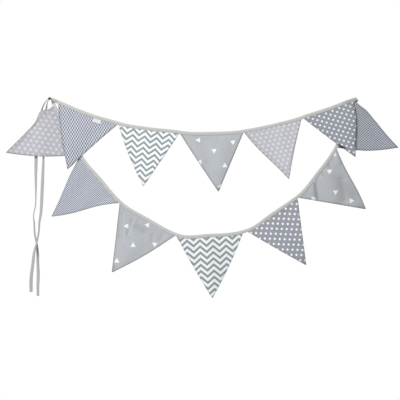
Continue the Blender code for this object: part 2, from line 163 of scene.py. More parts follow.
LOWER_FLAGS = (
    Flag("check_right", None, None, 855.3, 142.5, 0, 1047, 146.7, 2.5, 2, 9, 0, -1.5, 3, 0, 0.78, 2),
    Flag("triangles_right", 852.6, 147.6, 741.6, 289.2, 3.8, 949.2, 331.8, 0, -2, 0, 0, 2, -2, -1, 0.92),
    Flag("dots_lower", 737.7, 292.2, 591.6, 390.3, 1, 770.1, 500.4, 0, 0, 1, 0, 2, -3, 2, 1.05),
    Flag("chevron_lower", 576.3, 395.1, 384.3, 404.7, 5.4, 487.8, 599.7, 4, 0, 2, 0, 3, -3, 1, 0.9),
    Flag("triangles_left", 378, 402.3, 216, 308.7, 3, 185.7, 522, 5, 0, 0, 0, 2, 2, -2, 0.96),
    Flag("check_left", 212.4, 305.4, 98, 170, 1.2, 4.2, 354, -0.5, -3, 1.5, 1.5, 1, 4, 1.5, 0.95),
    Flag("pale_left", 94.5, 163.5, 17.4, 17.7, 0, -132.9, 162.3, 8, 0, 1, 0, 0, 2, 0, 0.9, 0, 14),
)

# Soft folds: a line on one flag, a ridge's height, or a trough's where it is negative, and its width
FOLDS = {
    "pale_left": ((-14, 35, -36, 168, 5, 34),),
    "check_front": ((150, 75, 80, 190, -2, 24),),
    "chevron_upper": ((300, 90, 285, 220, 2.5, 26),),
    "triangles_upper": ((450, 100, 480, 190, -2.5, 18), (530, 100, 515, 210, 2, 20)),
    "pale_upper": ((690, 80, 710, 190, 2.5, 22),),
    "dots_upper": ((912, 20, 916, 170, -1.2, 12), (790, 90, 860, 130, -2, 14)),
    "check_right": ((960, 60, 1000, 130, -2, 24),),
    "triangles_right": (
        (795, 249, 805, 300, -5, 4.5), (782, 254, 788, 285, 2.5, 8), (812, 214, 822, 232, -2.2, 4.5),
        (832, 186, 839, 208, -2.6, 6), (856, 168, 868, 190, 4, 8), (833, 235, 848, 300, 6, 25),
        (878, 245, 888, 300, -5.5, 13),
    ),
    "dots_lower": ((700, 330, 750, 460, -2, 26),),
    "chevron_lower": ((470, 415, 485, 560, 2.5, 26),),
    "triangles_left": (
        (208, 345, 209, 420, -1.8, 3.5), (218, 345, 217, 424, -2.2, 4), (246, 366, 235, 404, -2.6, 5),
        (235, 404, 247, 427, -2, 5), (260, 384, 280, 402, -2.6, 9), (310, 408, 306, 430, -2, 4.5),
        (343, 406, 333, 424, -2, 4.5), (250, 440, 212, 505, 2.4, 20),
    ),
    "check_left": ((190, 312, 130, 345, 3.5, 14), (120, 230, 60, 320, -2, 22)),
}

# Painted shade: soft shadows painted into the tone along a line on one piece, the share that its tone
# falls to, or rises to for a painted lighter patch on the tape, and its width
PAINTED_SHADES = {
    "tape": ((-6, 3, -27, 36, 0.58, 7), (6, 4, 9, 16, 1.5, 6), (890, 5, 926, 4, 0.8, 12)),
    "dots_upper": ((861, 137, 884, 149, 0.1, 3.6),),
    "check_right": ((862, 138, 880, 148, 0.55, 3),),
    "triangles_right": (
        (800, 228, 797, 246, 0.72, 4), (812, 216, 822, 230, 0.85, 4), (832, 190, 838, 206, 0.85, 4),
        (797, 252, 805, 300, 0.8, 4), (890, 262, 905, 288, 0.84, 16), (930, 322, 948, 331, 0.8, 9),
    ),
    "triangles_left": ((262, 384, 280, 396, 0.88, 10), (190, 505, 186, 520, 0.84, 9)),
    "triangles_upper": ((505, 270, 506, 280, 0.78, 7),),
    "check_left": ((180, 322, 205, 312, 0.85, 5),),
    "pale_left": ((-60, 108, -128, 160, 0.9, 7), (-9, 40, -52, 86, 0.8, 4)),
    "dots_lower": ((758, 480, 769, 499, 0.82, 8),),
}

# Each print's place on its flag: a point of the print, and the two steps after which it repeats
Print = namedtuple("Print", "across drop first_across first_drop second_across second_drop")
PRINTS = {
    "check_front": Print(91.03, 101.82, 3.82, -6.09, 3.84, 6.52),
    "check_right": Print(965.55, 107.04, 4.1, -3.6, 4.55, 3.79),
    "check_left": Print(105.11, 284.4, 3.76, 3, 3.54, -3),
    "chevron_upper": Print(274.9, 188.6, 35.81, 4.89, -2.3, 16.83),
    "chevron_lower": Print(529.59, 467.76, 38.8, -1.39, 0.66, 18.44),
    "pale_upper": Print(681.9, 148.1, 11.24, 10.77, -4.13, 13.53),
    "pale_left": Print(-29.8, 116.6, 7.74, 14.64, -9.19, 11.91),
    "dots_upper": Print(871.9, 83, 13.86, 3.71, -5.88, 11.87),
    "dots_lower": Print(707.7, 406.4, 14.84, 0.52, -3.04, 15.2),
}

# The small printed triangles: across, drop and turn in degrees, where 0 points up and 90 to the left
TRIANGLES = {
    "triangles_upper": (
        (446, 124, 90), (493, 156, 180), (450, 190, 90), (525, 201, 0), (549, 130, -50), (511, 263, -20),
    ),
    "triangles_right": (
        (839, 218, 60), (793, 243, 200), (857, 280, 180), (790, 300, 150), (905, 306, 30), (853, 165, 90),
    ),
    "triangles_left": ((231, 382, 90), (293, 379, 80), (250, 440, 0), (315, 437, 180), (201, 487, 0)),
}

# The two ties, as stops along the middle of the tape from the flags over the left nail to the free end:
# across, drop, depth, and how far the tape is turned edge-on to the viewer, in degrees
FRONT_TIE = (
    (17.5, 6.8, 16.2, 8), (10.5, 3, 16.8, 40), (5.2, -0.6, 17, 76), (2.3, -2.2, 17, 90),
    (0, -2.8, 17, 90), (-2.2, -2, 17, 90), (-4.6, 0.8, 16.8, 88), (-9, 5.6, 15.5, 82),
    (-13.8, 11.5, 13, 74), (-19.5, 20.4, 9.4, 70), (-24.6, 34, 6.6, 62), (-30.9, 64, 5.4, 40),
    (-36.9, 115, 5, 14), (-41.4, 172, 5, 4), (-42.6, 230, 5.2, 38), (-42.4, 285, 5.6, 68),
    (-43.2, 318, 5.6, 72), (-49.2, 351, 5.6, 74), (-47.2, 376, 5.4, 62), (-46.2, 402, 5.4, 60),
    (-39.9, 436, 5.4, 58), (-36.6, 466, 5.4, 36), (-36.3, 496, 5.4, 36), (-35.4, 522, 5.2, 14),
    (-36.4, 560, 5, 34), (-36.3, 592, 5, 34),
)
REAR_TIE = (
    (9.5, 11.5, 8, 40), (6, 5.5, 6.5, 75), (2.8, 0, 6, 90), (2, -2, 6, 90), (0, -2.8, 6, 90),
    (-2, -2, 6, 90), (-2.9, 0.4, 6, 90), (-5.6, 6, 6, 86), (-8, 13, 5.8, 80), (-10.6, 27, 5.4, 60),
    (-13.5, 40, 5, 46), (-16.4, 84, 5, 44), (-18, 130, 5.4, 52), (-19.2, 172, 5.6, 56),
    (-21, 215, 6.4, 34), (-24, 285, 7.6, 18), (-26, 330, 9.5, 30), (-27.2, 346, 10.5, 36),
    (-30.6, 364, 12, 50), (-33.4, 402, 14.6, 60), (-40.2, 436, 16, 58), (-46.8, 462, 15, 40),
    (-51, 496, 12, 22), (-56.4, 538, 8, 6), (-56.8, 580, 6.5, 4),
)

# Painted shade on each cotton: how much darker it is over its seam allowances, and at its rolled edge
SeamShades = namedtuple("SeamShades", "band edge")
SEAM_SHADES = {
    "check": SeamShades(0.06, 0.42),
    "chevron": SeamShades(0.03, 0.26),
    "triangles": SeamShades(0.06, 0.55),
    "pale": SeamShades(0.12, 0.45),
    "dots": SeamShades(0.06, 0.32),
}


def plan(across, drop):
    """A place on the wall in millimetres, as X and Z: drop is turned round to point up."""
    return np.array((across, -drop), float)


def unit(vectors):
    return vectors / np.linalg.norm(vectors, axis=-1, keepdims=True)


def square_to(heading):
    """The direction on the wall that is on the right of this heading."""
    return np.array((heading[1], -heading[0]))


def smoothstep(value):
    """0 up to 0, 1 from 1, and the cubic 3t^2 - 2t^3 between them."""
    value = np.clip(value, 0, 1)
    return value * value * (3 - 2 * value)


def distance_along(points):
    """How far along the line through the points each of them lies."""
    return np.concatenate(([0], np.cumsum(np.linalg.norm(np.diff(points, axis=0), axis=1))))


def smooth_route(knots, step, first_heading=None):
    """Cubic curve through the knots, and the index of each knot among its points.

    Between two knots it is the Hermite cubic on their places and slopes, and a knot's slope is that of the
    parabola through it and its two neighbours.
    """
    knots = np.asarray(knots, float)
    lengths = np.linalg.norm(np.diff(knots[:, :2], axis=0), axis=1)
    along = np.concatenate(([0], np.cumsum(lengths)))
    slopes = np.gradient(knots, along, axis=0, edge_order=1)
    if first_heading is not None:
        slopes[0] = first_heading
    counts = np.maximum(2, np.ceil(lengths / step).astype(int))
    span = np.repeat(np.arange(len(lengths)), counts)
    first = np.concatenate(([0], np.cumsum(counts)))
    t = ((np.arange(first[-1]) - first[span]) / counts[span])[:, None]
    length = lengths[span][:, None]
    points = (
        (2 * t**3 - 3 * t**2 + 1) * knots[span]
        + (t**3 - 2 * t**2 + t) * length * slopes[span]
        + (3 * t**2 - 2 * t**3) * knots[span + 1]
        + (t**3 - t**2) * length * slopes[span + 1]
    )
    return np.concatenate((points, knots[-1:])), first


class Swag:
    """The tape's folded edge along one swag, with the side that its flags hang on.

    Side is 1 where the flags are on the right of someone who walks along the tape, and -1 on the left.
    """

    def __init__(self, flags, side, depth, first_knots=(), last_knots=(), first_heading=None):
        knots, spans = list(first_knots), []
        for flag in flags:
            start = knots.pop() if flag.start_across is None else plan(flag.start_across, flag.start_drop)
            end = plan(flag.end_across, flag.end_drop)
            below = side * square_to(unit(end - start))
            spans.append(len(knots))
            knots += [start, (start + end) / 2 + below * flag.sag, end]
        points, indices = smooth_route([*knots, *last_knots], SWAG_STEP, first_heading)
        self.side, self.depth, self.points = side, depth, points
        self.along = distance_along(points)
        self.headings = unit(np.gradient(points, self.along, axis=0))
        self.spans = {
            flag.name: (self.along[indices[knot]], self.along[indices[knot + 2]])
            for flag, knot in zip(flags, spans)
        }

    def at(self, distances, below):
        """Points at these distances along the folded edge and this far below it."""
        point, heading = (
            np.stack([np.interp(distances, self.along, values[:, k]) for k in (0, 1)], axis=-1)
            for values in (self.points, self.headings)
        )
        heading = unit(heading)
        down = self.side * np.stack((heading[..., 1], -heading[..., 0]), axis=-1)
        return point + down * np.asarray(below)[..., None]


def over_the_turn(flat, inward, corner, line, outward):
    """Wraps points of the front layer round the half turn at the right nail.

    A point that lies a distance past the turn's line goes that distance round a half circle, whose radius
    is the turn's less how far inward the point lies, and then back along the rear layer.
    """
    reach = (flat - corner) @ outward
    along = (flat - corner) @ line
    angle = np.clip(reach / TURN_RADIUS, 0, np.pi)
    past = np.minimum(reach, 0) - np.maximum(reach - np.pi * TURN_RADIUS, 0)
    radius = TURN_RADIUS - inward
    out = past + radius * np.sin(angle)
    wall = corner + along[..., None] * line + out[..., None] * outward
    return np.stack((wall[..., 0], -(FRONT + REAR) / 2 - radius * np.cos(angle), wall[..., 1]), axis=-1)


def hanging():
    """Both swags, and the corner, line, and outward direction of the turn between them."""
    corner = plan(*FOLD_CORNER)
    upper = Swag(UPPER_FLAGS, 1, FRONT, last_knots=(corner,))
    heading = upper.headings[-1]
    rear_heading = unit(np.array(REAR_HEADING))
    line = unit(heading + rear_heading)
    outward = np.array((-line[1], line[0]))
    leaving = over_the_turn(corner + TURN_LENGTH * heading, np.array(0.0), corner, line, outward)[[0, 2]]
    first_knots = (leaving, leaving + FLAG_AFTER_TURN * rear_heading)
    lower = Swag(LOWER_FLAGS, -1, REAR, first_knots=first_knots, first_heading=rear_heading)
    return upper, lower, (corner, line, outward)


def half_thickness(tape, openness):
    return (tape.tie_thickness + (tape.thickness - tape.tie_thickness) * openness) / MM / 2


def tape_section(openness, along, tape):
    """The tape's outline, as width from the middle towards the flags and as thickness.

    Out from the folded edge, the face rises as a quarter circle, runs level with a dip at the stitches and
    rounds off at the flags' edge. Behind it the slot runs back to its floor. Where the tape is sewn shut as
    a tie the faces come together, and the slot is only a notch. A slow sum of sines along the tape makes
    its width uneven.
    """
    openness, along = np.asarray(openness, float)[:, None], np.asarray(along, float)[:, None]
    width = tape.width / MM
    out = np.array(SECTION_OUT) * width / SECTION_OUT[-1]
    uneven = sum(height * np.sin(along / run + start) for height, run, start in WIDTH_WAVES)
    across = out - width / 2 + uneven * smoothstep(out / width)
    face = half_thickness(tape, openness) * np.array(SECTION_RISE)
    slot = SLOT_OPENS * openness + NOTCH_HALF
    floor = width / 2 - NOTCH_DEPTH - (width - NOTCH_DEPTH - FOLD_SOLID) * openness
    inner = np.hstack((across[:, -1:] - MOUTH_LIP, floor))
    lip = np.hstack((slot, slot))
    widths = np.hstack((across, inner, inner[:, ::-1], across[:, :0:-1]))
    heights = np.hstack((face, lip, -lip, -face[:, :0:-1]))
    return widths, heights


def rings_along(centres, turns, openness, along, side, tape):
    """The tape's rings at these centres, each square to the tape and turned edge-on by its turn.

    Also gives the two unit directions of each ring: across the tape, and out of its face.
    """
    heading = unit(np.gradient(centres, axis=0))
    towards_flags = side * unit(np.cross((0.0, 1.0, 0.0), heading))
    facing = np.cross(heading, towards_flags)
    turns = np.radians(turns)[:, None]
    across = np.cos(turns) * towards_flags + np.sin(turns) * facing
    facing = np.cross(heading, across)
    width, thickness = tape_section(openness, along, tape)
    rings = centres[:, None] + width[..., None] * across[:, None] + thickness[..., None] * facing[:, None]
    return rings, across, facing


Strip = namedtuple("Strip", "rings centres across facing openness")


def swag_strip(swag, tape, start):
    middle = swag.at(swag.along, np.full(len(swag.along), tape.width / MM / 2))
    centres = np.stack((middle[:, 0], np.full(len(middle), -swag.depth), middle[:, 1]), axis=-1)
    count = len(centres)
    rings, across, facing = rings_along(
        centres, np.zeros(count), np.ones(count), start + swag.along, swag.side, tape
    )
    return Strip(rings, centres, across, facing, np.ones(count))


def tie_strip(stops, swag, order, side, tape, start):
    """The tape from a swag's end over the nail to the free end."""
    ends = [swag.at(swag.along[k], np.asarray(tape.width / MM / 2)) for k in order]
    knots = [(x, z, -swag.depth, 0) for x, z in ends]
    knots += [(across, -drop, -depth, turn) for across, drop, depth, turn in stops]
    points, indices = smooth_route(knots, TIE_STEP)
    points = points[indices[1] :]
    centres = points[:, (0, 2, 1)]
    along = distance_along(centres)
    openness = 1 - smoothstep(along / CLOSING_LENGTH)
    rings, across, facing = rings_along(centres, points[:, 3], openness, start + along, side, tape)
    return Strip(*(values[1:] for values in (rings, centres, across, facing, openness)))


def turn_strip(turn, heading, tape, start):
    """The tape round the half turn: its section, wrapped point by point."""
    corner = turn[0]
    down = square_to(heading)
    steps = TURN_LENGTH * np.arange(1, TURN_STEPS + 1) / TURN_STEPS
    width, thickness = tape_section(np.ones(TURN_STEPS), start + steps, tape)
    half = tape.width / MM / 2
    ahead = corner + steps[:, None, None] * heading
    rings = over_the_turn(ahead + (half + width)[..., None] * down, thickness, *turn)
    centres = over_the_turn(ahead[:, 0] + half * down, np.zeros(TURN_STEPS), *turn)
    lower_edge = over_the_turn(ahead[:, 0] + (half + 1) * down, np.zeros(TURN_STEPS), *turn)
    raised = over_the_turn(ahead[:, 0] + half * down, np.ones(TURN_STEPS), *turn)
    return Strip(rings, centres, lower_edge - centres, raised - centres, np.ones(TURN_STEPS))


def bands(index):
    """Quads between each row of points and the next, all the way round."""
    near, far = index[:-1], index[1:]
    return np.stack((near, np.roll(near, -1, 1), np.roll(far, -1, 1), far), axis=-1).reshape(-1, 4)


def rungs_across(ring):
    """Faces that close a thin ring, from each pair of front points straight across to their back points."""
    half = len(ring) // 2
    step = np.arange(1, half - 1)
    rungs = np.stack((ring[step], ring[step + 1], ring[-step - 1], ring[-step]), axis=-1)
    return [ring[[0, 1, -1]].tolist(), *rungs.tolist(), ring[half - 1 : half + 2].tolist()]


def closed_piece(name, points, faces, material):
    """A new smooth piece from points in millimetres, with its faces turned outwards."""
    mesh = bpy.data.meshes.new(name)
    mesh.from_pydata((points.reshape(-1, 3) * MM).tolist(), [], faces)
    shell = bmesh.new()
    shell.from_mesh(mesh)
    bmesh.ops.recalc_face_normals(shell, faces=shell.faces)
    shell.to_mesh(mesh)
    shell.free()
    mesh.shade_smooth()
    mesh.materials.append(material)
    return add_piece(name, mesh)


def ring_mesh(name, rings, maps, material, tone=1.0, thin=False):
    """A closed mesh from rings of points in millimetres: bands of quads between them, closed at each end.

    Each of the maps is a pair of values for every point, kept as a UV map of its name. The tone, painted
    light and shade, is kept at every point for the material. A thin ring is closed with rungs, because it
    curves, and another with one flat face.
    """
    index = np.arange(rings[..., 0].size).reshape(rings.shape[:2])
    ends = [*rungs_across(index[0]), *rungs_across(index[-1])] if thin else index[[0, -1]].tolist()
    piece = closed_piece(name, rings, [*bands(index).tolist(), *ends], material)
    mesh = piece.data
    corner_points = np.empty(len(mesh.loops), int)
    mesh.loops.foreach_get("vertex_index", corner_points)
    for map_name, values in maps.items():
        layer = mesh.uv_layers.new(name=map_name)
        layer.uv.foreach_set("vector", values.reshape(-1, 2)[corner_points].astype(np.float32).ravel())
    painted_tone_layer = mesh.attributes.new("tone", "FLOAT", "POINT")
    painted_tone_layer.data.foreach_set("value", np.broadcast_to(tone, rings.shape[:2]).astype(np.float32).ravel())
    mesh.set_sharp_from_angle(angle=np.radians(60))
    return piece


def add_piece(name, mesh):
    made = bpy.data.objects.new(name, mesh)
    bpy.context.scene.collection.objects.link(made)
    return made


def distance_to(points, start, end):
    """How far each point is from the line between two others."""
    run = end - start
    share = np.clip((points - start) @ run / (run @ run), 0, 1)
    return np.linalg.norm(points - start - share[..., None] * run, axis=-1)


def marks(lines, wall):
    """For each line, its amount, and exp(-(distance / width)^2) at every point."""
    for from_across, from_drop, to_across, to_drop, amount, width in lines:
        off = distance_to(wall, plan(from_across, from_drop), plan(to_across, to_drop))
        yield amount, np.exp(-((off / width) ** 2))


def fold_depth(name, wall):
    """How far a flag's own folds stand out: the sum of their heights, each with its nearness."""
    folds = marks(FOLDS.get(name, ()), wall)
    return sum((height * near for height, near in folds), np.zeros(wall.shape[:-1]))


def with_painted_shade(name, tone, wall):
    """The tone at each point, times 1 - (1 - share) * nearness for each painted shadow line."""
    tone = np.broadcast_to(tone, wall.shape[:-1]).astype(float)
    for share, near in marks(PAINTED_SHADES.get(name, ()), wall):
        tone *= 1 - (1 - share) * near
    return tone


def flag_depth(flag, across, fall, wall, below_tape):
    """How far a flag stands out from its layer: its belly, its tip, its twist, its folds and fine puckers.

    The belly is a half sine down the flag times a parabola across it. The puckers are sines across the flag
    that die away down from the tape.
    """
    side = 2 * across - 1
    belly = flag.belly * np.sin(np.pi * np.clip(fall, 0, 1)) * (1 - side**2)
    tip = flag.tip_lift * fall**2
    twist = flag.twist * side * fall * (1 - fall) * 2
    ramp = smoothstep(below_tape / FOLD_RAMP)
    phase = flag.tip_across / PUCKER_SHIFT
    (height, turns), (broader_height, broader_turns) = PUCKERS
    pucker = height * np.sin(across * turns + phase)
    pucker += broader_height * np.sin(across * broader_turns + 2 * phase + below_tape / PUCKER_LEAN)
    pucker *= smoothstep(below_tape / PUCKER_START) * np.exp(-below_tape / PUCKER_REACH)
    return (belly + tip + twist + fold_depth(flag.name, wall)) * ramp + pucker


def flag_surface(flag, swag, across, fall):
    """A flag's middle surface: straight lines from tape to tip, bowed at the sides, with loose corners.

    Gives the points, and how far each lies from either side and from the tape. Where fall is negative the
    cloth is in the tape's slot.
    """
    first, last = swag.spans[flag.name]
    in_slot = fall < 0
    below = np.where(in_slot, FLAG_TOP, SLOT_MOUTH)
    top = swag.at(first + (last - first) * across, below)
    tip = plan(flag.tip_across, flag.tip_drop)
    corners = swag.at(np.array((first, last)), np.full(2, SLOT_MOUTH))
    to_start, to_end = (
        swag.side * sign * square_to(unit(tip - corner)) for sign, corner in zip((1, -1), corners)
    )
    fall = np.maximum(fall, 0)
    bow, wave = np.sin(np.pi * fall), np.sin(2 * np.pi * fall)
    ear = np.exp(-(((fall - EAR_FALL) / EAR_WIDTH) ** 2)) * smoothstep(fall / EAR_FALL)
    start_side = (1 - across) * (flag.start_bow * bow + flag.start_wave * wave + flag.start_ear * ear)
    end_side = across * (flag.end_bow * bow + flag.end_wave * wave + flag.end_ear * ear)
    wall = top + (tip - top) * fall[..., None]
    wall = wall + start_side[..., None] * to_start + end_side[..., None] * to_end
    below_tape = np.linalg.norm(tip - top, axis=-1) * fall
    base = unit(corners[1] - corners[0])
    width = np.linalg.norm(corners[1] - corners[0]) * (1 - fall)
    slope_start, slope_end = (abs(unit(tip - corner) @ square_to(base)) for corner in corners)
    from_start, from_end = across * width * slope_start, (1 - across) * width * slope_end
    depth = flag_depth(flag, across, fall, wall, below_tape)
    curl = CURL_START * np.exp(-from_start / CURL_WIDTH) - CURL_END * np.exp(-from_end / CURL_WIDTH)
    depth = swag.depth + np.where(in_slot, 0, depth + curl * smoothstep(below_tape / FOLD_RAMP))
    return np.stack((wall[..., 0], -depth, wall[..., 1]), axis=-1), from_start, from_end, below_tape


def print_place(flag, wall):
    """Where each point lies on its flag's print: its steps along the two repeats, or metres with none."""
    if flag.name not in PRINTS:
        return wall * MM
    row = PRINTS[flag.name]
    repeats = np.array(((row.first_across, row.second_across), (-row.first_drop, -row.second_drop)))
    return (wall - plan(row.across, row.drop)) @ np.linalg.inv(repeats).T


def round_trip(ahead, back):
    """Each row of the first from side to side, and then the second's inner points back again."""
    return np.concatenate((ahead, back[:, -2:0:-1]), axis=1)


def two_faces(middle, half):
    """A cloth's rings: its front and back, half its thickness off its middle surface along the normal."""
    normal = unit(np.cross(np.gradient(middle, axis=0), np.gradient(middle, axis=1)))
    off = half[..., None] * normal * np.sign(-normal[..., 1:2])
    return round_trip(middle + off, middle - off)


def flag_rings(flag, swag, sizes):
    """Rings round a flag, from its top in the slot to its tip: the front from side to side and the back.

    The cloth is thicker over the seam allowances and rounds to nothing at the sides. Its columns are
    crowded towards the sides.
    """
    t = np.linspace(0, 1, sizes.columns + 1)
    across = (1 - SIDE_CROWDING) * t + SIDE_CROWDING * (0.5 - 0.5 * np.cos(np.pi * t))
    across, fall = np.meshgrid(across, np.concatenate(((-1.0,), np.linspace(0, TIP_FALL, sizes.rows))))
    middle, from_start, from_end, below_tape = flag_surface(flag, swag, across, fall)
    side = np.minimum(from_start, from_end)
    seam = 1 - smoothstep((side - sizes.seam_width / MM + 1) / SEAM_STEP)
    half = (sizes.thickness + (sizes.seam_thickness - sizes.thickness) * seam) / MM / 2
    half = half * np.sqrt(1 - (1 - np.clip(side / EDGE_ROUND, 0, 1)) ** 2)
    wall = middle[..., (0, 2)]
    maps = {
        "cloth": wall * MM,
        "print": print_place(flag, wall),
        "edges": np.stack((side * MM, below_tape * MM), axis=-1),
    }
    # Painted shade: the flag's own tone over the whole flag, then its painted shadow lines
    tone = with_painted_shade(flag.name, flag.tone, wall)
    maps = {name: round_trip(values, values) for name, values in maps.items()}
    return two_faces(middle, half), maps, round_trip(tone, tone)


def stitch_mesh(name, places, headings, facings, size, material):
    """One mesh of like stitches: at each place a short four-sided thread whose ends dip into the cloth.

    Its line is a half sine over its length, and its half width is that of a circle, flattened at the ends.
    """
    length, radius = size
    t = np.linspace(-1, 1, 5)
    arch = np.cos(t * np.pi / 2)
    rise = radius * (STITCH_ARCH * arch - STITCH_DIP)
    girth = radius * (STITCH_END_GIRTH + (1 - STITCH_END_GIRTH) * arch)
    angles = np.pi / 4 + np.arange(4) * np.pi / 2
    offsets = (
        np.broadcast_to((t * length / 2)[:, None], (5, 4)),
        rise[:, None] + girth[:, None] * np.sin(angles),
        girth[:, None] * np.cos(angles),
    )
    directions = (headings, facings, np.cross(headings, facings))
    moved = (offset[..., None] * way[:, None, None] for offset, way in zip(offsets, directions))
    points = sum(moved, places[:, None, None])
    ring = np.arange(20).reshape(5, 4)
    quads = np.concatenate((bands(ring), ring[:1, ::-1], ring[-1:]))
    faces = (quads[None] + 20 * np.arange(len(places))[:, None, None]).reshape(-1, 4)
    return closed_piece(name, points, faces.tolist(), material)


def linear(*srgb):
    """Linear colour of an 8-bit display colour."""
    share = np.array(srgb, float) / 255
    return tuple(np.where(share <= 0.04045, share / 12.92, ((share + 0.055) / 1.055) ** 2.4))


class Value:
    """What a node gives, ready for sums: each operator adds a Math node."""

    def __init__(self, nodes, socket):
        self.nodes, self.socket = nodes, socket

    def __add__(self, other):
        return self.nodes.math("ADD", self, other)

    def __sub__(self, other):
        return self.nodes.math("SUBTRACT", self, other)

    def __rsub__(self, other):
        return self.nodes.math("SUBTRACT", other, self)

    def __mul__(self, other):
        return self.nodes.math("MULTIPLY", self, other)

    def __abs__(self):
        return self.nodes.math("ABSOLUTE", self)


class Nodes:
    """Short ways to add nodes to one tree and join them."""

    def __init__(self, tree):
        self.tree = tree

    def feed(self, socket, value):
        """Joins a node's output to the socket, or sets a constant on it. A colour of three gets alpha 1."""
        value = getattr(value, "socket", value)
        if hasattr(value, "is_output"):
            self.tree.links.new(value, socket)
        else:
            socket.default_value = (*value, 1) if socket.type == "RGBA" and len(value) == 3 else value

    def add(self, kind, inputs=(), output=0, **settings):
        """One output of a new node, whose inputs are given by socket, or in order."""
        node = self.tree.nodes.new(kind)
        for name, value in settings.items():
            setattr(node, name, value)
        for key, value in inputs.items() if isinstance(inputs, dict) else enumerate(inputs):
            self.feed(node.inputs[key], value)
        return Value(self, node.outputs[output])

    def math(self, operation, *values):
        return self.add("ShaderNodeMath", values, operation=operation)

    def greatest(self, values):
        return reduce(lambda first, second: self.math("MAXIMUM", first, second), values)

    def vector(self, operation, *values):
        output = "Value" if operation == "DOT_PRODUCT" else "Vector"
        return self.add("ShaderNodeVectorMath", values, output, operation=operation)

    def parts(self, vector):
        """The vector's first two parts."""
        first = self.add("ShaderNodeSeparateXYZ", (vector,))
        return first, Value(self, first.socket.node.outputs[1])

    def spread(self, value, low, high, to_low=0.0, to_high=1.0):
        """A smooth step from one value at low to another at high."""
        given = (value, low, high, to_low, to_high)
        return self.add("ShaderNodeMapRange", given, interpolation_type="SMOOTHSTEP")

    def mix(self, share, first, second, way="MIX"):
        """Two colours mixed by a share. On this node their sockets are 6 and 7, and the result's is 2."""
        inputs = {0: share, 6: first, 7: second}
        return self.add("ShaderNodeMix", inputs, 2, data_type="RGBA", blend_type=way)

    def tint(self, colour, tone):
        """The colour times a tone."""
        return self.mix(1.0, colour, self.add("ShaderNodeCombineColor", (tone,) * 3), "MULTIPLY")

    def noise(self, place, scale, detail=2.0, distortion=0.0, **settings):
        inputs = {"Vector": place, "Scale": scale, "Detail": detail, "Distortion": distortion}
        return self.add("ShaderNodeTexNoise", inputs, **settings)

    def bump(self, height, strength, distance, **beneath):
        inputs = {"Height": height, "Strength": strength, "Distance": distance, **beneath}
        return self.add("ShaderNodeBump", inputs)

    def group(self, tree, **values):
        """Every output of a shared group."""
        inputs = {name.capitalize(): value for name, value in values.items()}
        first = self.add("ShaderNodeGroup", inputs, node_tree=tree)
        return [Value(self, socket) for socket in first.socket.node.outputs]

    def place(self):
        return self.add("ShaderNodeTexCoord", output="Object")

    def map(self, name):
        return self.add("ShaderNodeUVMap", uv_map=name)


def shared_group(name, outputs, **inputs):
    """Makes a function into the maker of a node group of this name, which is made once.

    The function gets the group's node helper and its inputs, and gives its outputs. An input without a
    number is a vector.
    """

    def group_of(join):
        @wraps(join)
        def get():
            found = bpy.data.node_groups.get(name)
            if found:
                return found
            tree = bpy.data.node_groups.new(name, "ShaderNodeTree")
            for label, default in inputs.items():
                kind = "NodeSocketVector" if default is None else "NodeSocketFloat"
                socket = tree.interface.new_socket(label.capitalize(), in_out="INPUT", socket_type=kind)
                if default is not None:
                    socket.default_value = default
            for label in outputs:
                tree.interface.new_socket(label, in_out="OUTPUT", socket_type="NodeSocketFloat")
            nodes = Nodes(tree)
            sockets = nodes.add("NodeGroupInput").socket.node.outputs
            given = join(nodes, *(Value(nodes, socket) for socket in sockets[: len(inputs)]))
            end = tree.nodes.new("NodeGroupOutput")
            for label, value in zip(outputs, given):
                nodes.feed(end.inputs[label], value)
            return tree

        return get

    return group_of


@shared_group("Plain Weave", ("Height", "Tone"), vector=None, threads=1600.0, unevenness=0.05)
def plain_weave(nodes, vector, threads, unevenness):
    """Group: over-and-under threads and slubs, as a height and a tone, from cloth coordinates in metres.

    The threads are the size of the product of two sines, one across and one down. The slubs are noise.
    """
    inputs = {"Vector": vector, "Scale": threads * np.pi}
    across, down = nodes.parts(nodes.add("ShaderNodeVectorMath", inputs, operation="SCALE"))
    over = abs(nodes.math("SINE", across) * nodes.math("SINE", down))
    cloudy = nodes.noise(vector, 220.0, detail=3.0, noise_dimensions="2D") - 0.5
    return cloudy * 1.5 + over, over * unevenness + (cloudy * unevenness * 4.0 + 1.0)


@shared_group("Pressed Seam", ("Tone",), vector=None, width=0.008, band=0.05, edge=0.4)
def painted_seam_shade(nodes, vector, width, band, edge):
    """Group: painted shade over a turned seam allowance and its rolled edge, from the distance to the sides.

    The band is dark up to the allowance's width, all but a line there, and the rolled edge up to 4 mm.
    """
    side, _ = nodes.parts(vector)
    inner = side - width
    flat = nodes.spread(inner, 0.0008, -0.0008) - nodes.spread(abs(inner), 0.0015, 0.0) * 0.8
    rolled = nodes.spread(side, 0.0042, 0.0008) * edge
    return (1.0 - nodes.greatest((flat * band, rolled)),)


@shared_group("Soft Creases", ("Height", "Tone"), vector=None, scale=26.0, depth=0.05)
def soft_creases(nodes, vector, scale, depth):
    """Group: broad soft creases of cotton that was folded away, as a height and a tone of painted light and
    shade.
    """
    creased = nodes.noise(vector, scale, detail=3.0, distortion=0.8, noise_dimensions="2D")
    # The tone is painted shade in the creases' hollows and painted light on their ridges
    return creased, (creased - 0.5) * depth + 1.0


@shared_group("Printed Dots", ("Mask",), vector=None, lean=0.0, radius=0.2, blur=0.03)
def printed_dots(nodes, vector, lean, radius, blur):
    """Group: a round dot at each repeat of the print. Lean is the cosine between its two steps.

    The distance from a dot is the root of along^2 + down^2 + 2 * lean * along * down.
    """
    half = (0.5, 0.5, 0.0)
    within = nodes.vector("FRACTION", nodes.vector("ADD", vector, half))
    along, down = nodes.parts(nodes.vector("SUBTRACT", within, half))
    far = nodes.math("SQRT", along * along + down * down + along * down * (lean * 2.0))
    return (nodes.spread(far, radius + blur, radius - blur),)


